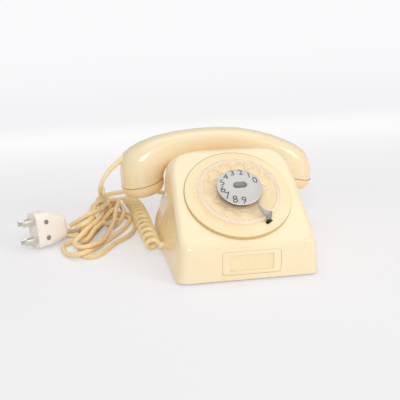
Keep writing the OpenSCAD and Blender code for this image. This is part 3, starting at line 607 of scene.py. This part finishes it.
# cord radii between the middles of two laps that rest on each other
PACKED = 1.92
LINE_ROUTE = [(-41.1, 112.3, 9.5), (-40.7, 118, 8.8), (-38.6, 132, 6), (-36, 150, 3.6),
              (-38, 168, 2.7), (-50, 181, 2.7), (-66, 187, 2.7), (-82, 186.6, 2.7),
              (-97, 183, 2.7), (-109, 177.6, 2.7), (-118, 170, 2.7), (-122.4, 161, 2.7)]
BUNDLE = [
    # into the pile and once round the outside
    (-123, 150), (-121, 136), (-114, 108), (-125, 77), (-137, 50), (-148, 25), (-157, 6),
    (-157, -9), (-150, -16), (-143, -16), (-135, -9), (-127, 3), (-118, 17), (-109, 26),
    (-100, 36), (-93, 51), (-89, 70), (-89, 90), (-92, 103), (-98, 109), (-106, 106),
    # the lap whose end shows at the plug
    (-116, 87), (-127, 66), (-138, 48), (-148, 34), (-157, 28), (-166, 27), (-173, 25),
    (-174, 15), (-173, 4), (-169, -8), (-162, -16), (-152, -16), (-143, -2), (-133, 15),
    (-123, 29), (-112, 44), (-102, 61), (-95, 75), (-92, 88), (-97, 98), (-106, 93),
    # over the plug's lead and up the far left
    (-117, 76), (-130, 55), (-141, 34), (-151, 25), (-160, 28), (-168, 39), (-170, 51),
    (-165, 60), (-157, 62), (-150, 72), (-142, 89), (-137, 110), (-133, 127), (-127, 137),
    (-118, 140), (-110, 136), (-106, 124), (-107, 106),
    # a shorter lap inside
    (-113, 85), (-122, 66), (-133, 44), (-144, 26), (-153, 18), (-161, 18), (-165, 12),
    (-162, 5), (-156, 5), (-148, 12), (-139, 25), (-130, 41), (-121, 53), (-111, 70),
    (-103, 80), (-99, 93), (-99, 112), (-98, 128), (-101, 139), (-107, 136),
    # a longer one on top of it
    (-112, 117), (-120, 96), (-132, 44), (-143, 24), (-153, 11), (-162, 4), (-168, -2),
    (-167, -9), (-160, -12), (-152, -11), (-143, -4), (-134, 9), (-124, 34), (-118, 47),
    (-113, 65), (-108, 87), (-103, 108), (-103, 124), (-108, 132), (-115, 128),
    # the last turn, back to the plug
    (-121, 112), (-129, 84), (-136, 52), (-144, 26), (-152, 12), (-158, 12), (-158, 24),
    (-149, 60), (-141, 82), (-134, 102), (-129, 118), (-123, 127), (-116, 124), (-115, 110),
    (-120, 88), (-128, 62), (-137, 44), (-146, 38), (-154, 40), (-160, 44), (-164.6, 44.8)]
# the last points climb to the plug's cord entry, this high
PLUG_RISE, CLIMB_POINTS = 13.6, 14


# %% Let the bundle settle
def settle(plan, floor, thick, reach=4, skip=6):
    """Heights at which each point of a cord rests on the floor and on earlier points."""
    nowhere = -1e9
    count = np.arange(len(plan))
    apart = np.linalg.norm(plan[:, None] - plan[None], axis=2)
    lift = np.where(apart < thick, np.sqrt(np.maximum(thick ** 2 - apart ** 2, 0)), nowhere)
    lift[count[None, :] >= count[:, None] - skip] = nowhere
    window = 2 * reach + 1
    height = floor.copy()
    for _ in range(14):
        raw = np.maximum(floor, (height[None, :] + lift).max(1))
        top = np.pad(raw, reach, mode="edge")
        top = np.max([top[i:i + len(plan)] for i in range(window)], axis=0)
        top = np.pad(top, reach, mode="edge")
        height = np.mean([top[i:i + len(plan)] for i in range(window)], axis=0)
    return height


plan = relaxed(eased(even(BUNDLE, 2.5), 8), FOLD_BEND, 14)
climb = np.clip((np.arange(len(plan)) - len(plan) + CLIMB_POINTS) / (CLIMB_POINTS - 1), 0, 1)
floor_height = LINE_CORD_R + 0.1 + climb ** 2 * (PLUG_RISE - LINE_CORD_R)
heights = settle(plan, floor_height, PACKED * LINE_CORD_R)
laid = np.c_[plan, heights]
print("bundle", len(laid), "points, top at", round(heights.max(), 1), "mm")

# %% Sweep the line cord
plug = [dress("plug_body", sharp=40), dress("plug_collar", sharp=40),
        dress("plug_blades", "nickel", bevel=0.25), NODES["plug_screws"]]
line_path = np.vstack([even(LINE_ROUTE, 2.5), laid]) * MM
line_path = relaxed(even(line_path, 2.5 * MM), LINE_CORD_BEND * MM, 10)
line_cord = piece("line_cord_skin", tube("line_cord_skin", line_path, LINE_CORD_R * MM, 16),
                  "base", "cord", replaces=["line_cord", "line_cord_hank", "plug_lead"])

# %% [markdown]
# ## The table and the light
#
# The telephone stands on a plain pale sweep. The sheet is one large flat
# plane, so there is no corner behind the object. A camera ray meets a sheet
# that is mostly its own white, with painted light that grades it from front to
# back, while every other ray sees a plain pale surface. That keeps the
# background clean and the shadow soft, and no lamp has to be turned up for it.

# %% Light falling on the table only where the camera looks
def look_only(finish):
    """1 for rays that show the surface itself, 0 for light bounced from it."""
    rays = [finish.add("ShaderNodeLightPath", output=name)
            for name in ("Is Camera Ray", "Is Glossy Ray", "Is Transmission Ray")]
    return (rays[0] + rays[1] + rays[2]).between(0, 1)


# painted light: how bright the table looks, 0 to 255, at distances in metres from front to back
SWEEP_TONES = [(-0.35, 235), (-0.23, 241), (-0.17, 244), (0, 247), (0.14, 247), (0.3, 249),
               (0.4, 255), (0.45, 255), (0.54, 244), (0.62, 243), (0.83, 247), (1.3, 250)]
# near the camera this share of the sheet is its own white, and all of it far behind
OWN_WHITE, ALL_WHITE_OVER = 0.42, (0.15, 0.5)
sweep_finish = Finish("sweep")
depth = sweep_finish.add("ShaderNodeSeparateXYZ", None, {0: sweep_finish.place()}, output="Y")
low, high = SWEEP_TONES[0][0], SWEEP_TONES[-1][0]
shade = sweep_finish.add("ShaderNodeValToRGB", {"stops": [
    ((y - low) / (high - low), tone(level, level - 0.5, min(255, level + 1.5)))
    for y, level in SWEEP_TONES]}, {0: depth.between(low, high)})
pale = sweep_finish.add("ShaderNodeBsdfDiffuse", None, {"Color": (*tone(243, 242, 245), 1)})
glow = sweep_finish.add("ShaderNodeEmission", None, {"Color": shade, "Strength": 1.0})
sweep_finish.surface(sweep_finish.add("ShaderNodeMixShader", None, {
    0: look_only(sweep_finish)
    * (OWN_WHITE + (1 - OWN_WHITE) * depth.between(*ALL_WHITE_OVER)), 1: pale, 2: glow}))

# %% The sweep itself
bm = bmesh.new()
bmesh.ops.create_grid(bm, x_segments=1, y_segments=1, size=6.0)
sweep = bpy.data.objects.new("sweep", to_mesh(bm, "sweep"))
sweep.data.materials.append(Finish.made["sweep"])
bpy.context.scene.collection.objects.link(sweep)

# %% Soft lamps
LAMPS = [  # name, place, size across and along, watts
    ("key", (-0.35, -1.3, 1.0), (0.5, 0.5), 7.4),
    ("fill", (0.95, -0.9, 0.8), (0.6, 0.6), 5),
    ("overhead", (0.1, 0.35, 1.6), (1.6, 1.2), 5.6)]
LIT_SPOT = Vector((0, 0, 0.04))
for name, place, (wide, tall), watts in LAMPS:
    lamp = bpy.data.lights.new(name, "AREA")
    lamp.shape, lamp.size, lamp.size_y, lamp.energy = "RECTANGLE", wide, tall, watts
    holder = bpy.data.objects.new(name, lamp)
    bpy.context.scene.collection.objects.link(holder)
    holder.location = place
    holder.rotation_euler = (LIT_SPOT - Vector(place)).to_track_quat("-Z", "Y").to_euler()

# %% The room's even light
ROOM_TONE, ROOM_STRENGTH = tone(251, 249, 246), 0.54
world = bpy.data.worlds.new("room")
bpy.context.scene.world = world
world.use_nodes = True
room = world.node_tree.nodes["Background"].inputs
room["Color"].default_value, room["Strength"].default_value = (*ROOM_TONE, 1), ROOM_STRENGTH
bpy.context.scene.view_settings.view_transform = "Standard"
print(len(LAMPS), "lamps")

# %% [markdown]
# ## The shell and the handset
#
# The housing is one moulding: an apron with a crease, a tilted face for the
# dial, and a crest with a saddle for the handset. The handset is a closed
# body with two screwed caps. Their surfaces are merged and smoothed, and only
# true corners stay sharp. Behind the handset the case grows narrower, so the
# housing, its plate and what is fixed to them turn in there together.

# %% Dress the mouldings
GLAND_X, REAR_Y = -57 * MM, 101 * MM
dress("housing", sharp=38, taper=True)
dress("base_plate", taper=True)
dress("handset_body", sharp=38)
dress("plate_boss", "dull_steel", bevel=0.3)
for node, bevel in (("mouthpiece_cap", 0), ("earpiece_cap", 0), ("card_frame", 0.35),
                    ("left_plunger", 0), ("right_plunger", 0)):
    dress(node, bevel=bevel)
dress("line_cord_gland", turn=Matrix.Translation((-drawn_in(GLAND_X, REAR_Y), 0, 0)))
for node in ("feet", "base_screws"):
    dress(node, taper=True)
dress("handset_cord_grommet", "coil_cord")
dress("card_window", "clear_window")

# %% [markdown]
# ## Seams
#
# Where a cap meets the handset a fine dark line shows, the shadow in the
# joint. It could be painted, but a line of its own keeps its width at every
# angle. The cap is cut by the plane of its joint, and a thin tube is swept
# along the cut.


# %% Cut a loop out of a part
def cut_loop(node, at, facing):
    """The longest closed line in mm where a plane cuts a part."""
    bm = merged(node)
    bmesh.ops.bisect_plane(bm, geom=bm.verts[:] + bm.edges[:] + bm.faces[:], dist=1e-7,
                           plane_co=at, plane_no=facing, clear_inner=True, clear_outer=True)
    loops, left = [], set(bm.verts)
    while left:
        chain = [left.pop()]
        while True:
            steps = [e.other_vert(chain[-1]) for e in chain[-1].link_edges]
            steps = [v for v in steps if v in left]
            if not steps:
                break
            left.discard(steps[0])
            chain.append(steps[0])
        loops.append([np.array(v.co) / MM for v in chain])
    bm.free()
    best = max(loops, key=lambda c: run_length(np.array(c)))
    return np.array(best + best[:1])


# %% Draw the seams
SEAMS = {  # part, a point on its joint and the direction along the joint, x and z in mm
    "mouthpiece_cap": ((-106, 57), (-60.5, 67)),
    "earpiece_cap": ((106, 54), (62, 66))}
SEAM_R, SEAM_INSIDE, HANDSET_Y = 0.22, 0.35, 45
for node, ((x0, z0), (x1, z1)) in SEAMS.items():
    facing = Vector((z1 - z0, 0, x0 - x1)).normalized()
    facing *= -math.copysign(1, facing.z)
    middle = Vector(((x0 + x1) / 2, HANDSET_Y, (z0 + z1) / 2)) * MM
    loop = cut_loop(node, middle + facing * SEAM_INSIDE * MM, facing)
    print(node, "seam", round(run_length(loop)), "mm")
    piece(node + "_seam", tube(node + "_seam", even(loop, 1.2) * MM, SEAM_R * MM, 8),
          "handset", "cream_shell", "seam_shadow")

# %% [markdown]
# ## The finger wheel
#
# The wheel turns with the dial and is the part that everyone touches. Its
# flat faces stay clear. The walls of the holes and the rim catch light, so
# the faces that don't look along the dial's axis get the milky finish, a painted
# highlight for that light. Its hub is drawn in until the plate hides it, and it
# rests a little further round.

# %% Clear faces and milky walls
DIAL_TURN = next(j for j in frame["joints"] if j["name"] == "dial_turn")
AXIS = Vector(DIAL_TURN["axis"]).normalized()
DIAL_TILT = math.atan2(-AXIS.y, AXIS.z)
DIAL_PLACE = Matrix.Translation(DIAL_TURN["pos_m"]) @ Matrix.Rotation(DIAL_TILT, 4, "X")
SWUNG = Matrix.Rotation(math.radians(-8.5), 4, "Z")
HUB_FROM, HUB_TO, HUB_DRAWN_IN = 20.5, 23.9, 4.0
bm = merged("finger_wheel")
bmesh.ops.transform(bm, matrix=DIAL_PLACE.inverted(), verts=bm.verts)
for v in bm.verts:
    reach = math.hypot(v.co.x, v.co.y) / MM
    if HUB_FROM < reach < HUB_TO and v.co.z > -0.1 * MM:
        shrink = 1 - HUB_DRAWN_IN / reach
        v.co.x, v.co.y = v.co.x * shrink, v.co.y * shrink
bmesh.ops.transform(bm, matrix=DIAL_PLACE @ SWUNG, verts=bm.verts)
mesh = to_mesh(bm, "finger_wheel_skin", 28)
for name in ("clear_wheel", "wheel_edge"):
    mesh.materials.append(Finish.made[name])
# painted highlight: faces that don't look along the axis take the whiter wheel_edge finish
for face in mesh.polygons:
    face.material_index = int(abs(face.normal.dot(AXIS)) < 0.9)
piece("finger_wheel_skin", mesh, "dial", "clear_wheel", None, ["finger_wheel"])
print("dial tilted", round(math.degrees(DIAL_TILT), 1), "degrees")

# %% [markdown]
# ## The finger stop
#
# A steel hook stops the finger. It is stamped from strip: a narrow tongue
# near the middle that widens in a hollow curve, then a fold that goes down
# over the wheel's rim and through a slot in the bezel. An outline pushed out
# to its thickness, with eased edges, gives the tongue and the fold alike.

# %% Stamp the stop
STOP_SWING = math.radians(-7.5)
STOP_TURN = DIAL_PLACE @ Matrix.Rotation(STOP_SWING, 4, "Z") @ DIAL_PLACE.inverted()
dress("dial_bezel", sharp=30, turn=STOP_TURN)
# outlines in mm on the dial's plane, from its middle
TONGUE = [(14.0, -19.6), (14.6, -23.2), (15.2, -26.8), (16.1, -30.2), (17.2, -33.2),
          (18.3, -35.6), (19.6, -37.6), (22.6, -37.0), (25.6, -35.4), (26.6, -33.2),
          (26.0, -31.2), (23.4, -30.9), (20.8, -30.0), (18.8, -28.2), (17.3, -25.8),
          (16.4, -23.0), (15.7, -20.2), (14.8, -19.2)]
FOLD_FRONT = [Vector((19.9, -37.6)), Vector((25.5, -35.5))]
STRIP = 1.1
TONGUE_HEIGHTS, FOLD_HEIGHTS = (2.4, 3.3), (-8.0, 3.1)


def stamped(bm, outline, low, high, ease):
    """Adds a plate with this outline, between two heights, its edges eased."""
    face = bm.faces.new([bm.verts.new((x, y, low)) for x, y in outline])
    pushed = bmesh.ops.extrude_face_region(bm, geom=[face])["geom"]
    bmesh.ops.translate(bm, vec=(0, 0, high - low),
                        verts=[v for v in pushed if isinstance(v, bmesh.types.BMVert)])
    bmesh.ops.recalc_face_normals(bm, faces=bm.faces)
    edges = [e for e in bm.edges if len(e.link_faces) == 2 and e.calc_face_angle(0) > 0.9
             and all(low - 0.01 < v.co.z < high + 0.01 for v in e.verts)]
    bmesh.ops.bevel(bm, geom=edges, offset=ease, segments=2, profile=0.5, affect="EDGES",
                    clamp_overlap=True, material=-1)


bm = bmesh.new()
stamped(bm, TONGUE, *TONGUE_HEIGHTS, 0.22)
fold = bmesh.new()
across = Vector(TONGUE[8]) - Vector(TONGUE[6])
out = Vector((across.y, -across.x)).normalized() * STRIP
stamped(fold, FOLD_FRONT + [p + out for p in reversed(FOLD_FRONT)], *FOLD_HEIGHTS, 0.25)
joined = bpy.data.meshes.new("fold")
fold.to_mesh(joined)
fold.free()
bm.from_mesh(joined)
bmesh.ops.transform(bm, matrix=DIAL_PLACE @ Matrix.Scale(MM, 4), verts=bm.verts)
piece("finger_stop_skin", to_mesh(bm, "finger_stop_skin", 40), "base", "steel",
      None, ["finger_stop"])
print("stop reaches", round(max(Vector(p).length for p in TONGUE), 1), "mm out")

# %% [markdown]
# ## The number plate
#
# A pressed metal plate sits on the wheel's hub, crowned like a watch glass.
# It is spun from a short profile. The numbers are printed on it upright in a
# thin plain type, so each is a text that is made a mesh and laid on the crown
# point by point.

# %% Spin the crowned plate
PLATE_R, PLATE_RIM, PLATE_CROWN = 23.1, 5.3, 3.1
DIGIT_R, DIGIT_HEIGHT, FIRST_HOLE, HOLE_STEP = 18.0, 7.9, 30.0, 27.8
# a figure's height in parts of the type's size, how far its strokes are thinned, and how
# far the print lies over the plate
FIGURE_HEIGHT, THINNED, PRINT_LIFT = 0.72, -0.02, 0.05


def crown(x, y):
    """Height of the plate in mm over the wheel's top."""
    return PLATE_RIM + PLATE_CROWN * (1 - (x * x + y * y) / PLATE_R ** 2)


bm = bmesh.new()
rim = [(PLATE_R - 0.9, PLATE_RIM - 0.9), (PLATE_R - 0.1, PLATE_RIM - 0.85),
       (PLATE_R, PLATE_RIM - 0.6), (PLATE_R - 0.05, PLATE_RIM - 0.2),
       (PLATE_R - 0.45, crown(PLATE_R - 0.45, 0) - 0.02)]
rim += [(r, crown(r, 0)) for r in np.linspace(PLATE_R - 1.2, 0, 18)]
rim += [(r, crown(r, 0) - 1.2) for r in (0, 6, 12, 18)] + rim[:1]
verts = [bm.verts.new((r, 0, z)) for r, z in rim]
edges = [bm.edges.new(pair) for pair in zip(verts, verts[1:])]
bmesh.ops.spin(bm, geom=verts + edges, cent=(0, 0, 0), axis=(0, 0, 1), dvec=(0, 0, 0),
               angle=2 * math.pi, steps=96, use_merge=True)
bmesh.ops.remove_doubles(bm, verts=bm.verts, dist=0.01)
bmesh.ops.recalc_face_normals(bm, faces=bm.faces)
bmesh.ops.transform(bm, matrix=DIAL_PLACE @ Matrix.Scale(MM, 4), verts=bm.verts)
mesh = to_mesh(bm, "number_plate_skin")
# painted shade: the plate's wall and underside, which don't face along the dial's axis, take the
# dark seam_shadow finish as the shadow under its rim
for name in ("plate_metal", "seam_shadow"):
    mesh.materials.append(Finish.made[name])
for face in mesh.polygons:
    face.material_index = int(face.normal.dot(AXIS) < 0.5)
piece("number_plate_skin", mesh, "dial", "plate_metal", None, ["number_plate"])


# %% Print the numbers
def digit(character, x, y):
    """A bmesh of one digit in mm, laid on the crown at x, y."""
    curve = bpy.data.curves.new("digit", "FONT")
    curve.body, curve.size, curve.extrude = character, DIGIT_HEIGHT / FIGURE_HEIGHT, 0.12
    curve.align_x, curve.align_y, curve.offset = "CENTER", "CENTER", THINNED
    holder = bpy.data.objects.new("digit", curve)
    bpy.context.scene.collection.objects.link(holder)
    bpy.context.view_layer.update()
    mesh = bpy.data.meshes.new_from_object(
        holder.evaluated_get(bpy.context.evaluated_depsgraph_get()))
    bpy.data.objects.remove(holder)
    lo = Vector(map(min, *[v.co for v in mesh.vertices]))
    hi = Vector(map(max, *[v.co for v in mesh.vertices]))
    middle = (lo + hi) / 2
    for v in mesh.vertices:
        across = SWUNG.inverted() @ Vector((v.co.x - middle.x, v.co.y - middle.y, 0))
        px, py = across.x + x, across.y + y
        v.co = (px, py, crown(px, py) + PRINT_LIFT + v.co.z * 0.4)
    return mesh


bm = bmesh.new()
for hole in range(10):
    turn = math.radians(FIRST_HOLE + HOLE_STEP * hole)
    bm.from_mesh(digit(str(hole), DIGIT_R * math.cos(turn), DIGIT_R * math.sin(turn)))
bmesh.ops.transform(bm, matrix=DIAL_PLACE @ SWUNG @ Matrix.Scale(MM, 4), verts=bm.verts)
piece("dial_digits", to_mesh(bm, "dial_digits"), "dial", "plate_metal", "digit_ink")

# %% [markdown]
# ## Everything else
#
# The parts that need no new shape get their finish by name, because the
# construction names each part's material.

# %% Finish the parts that stay
for name, node in NODES.items():
    for slot in node.material_slots:
        slot.material = Finish.made[SLOT_OF[name]]
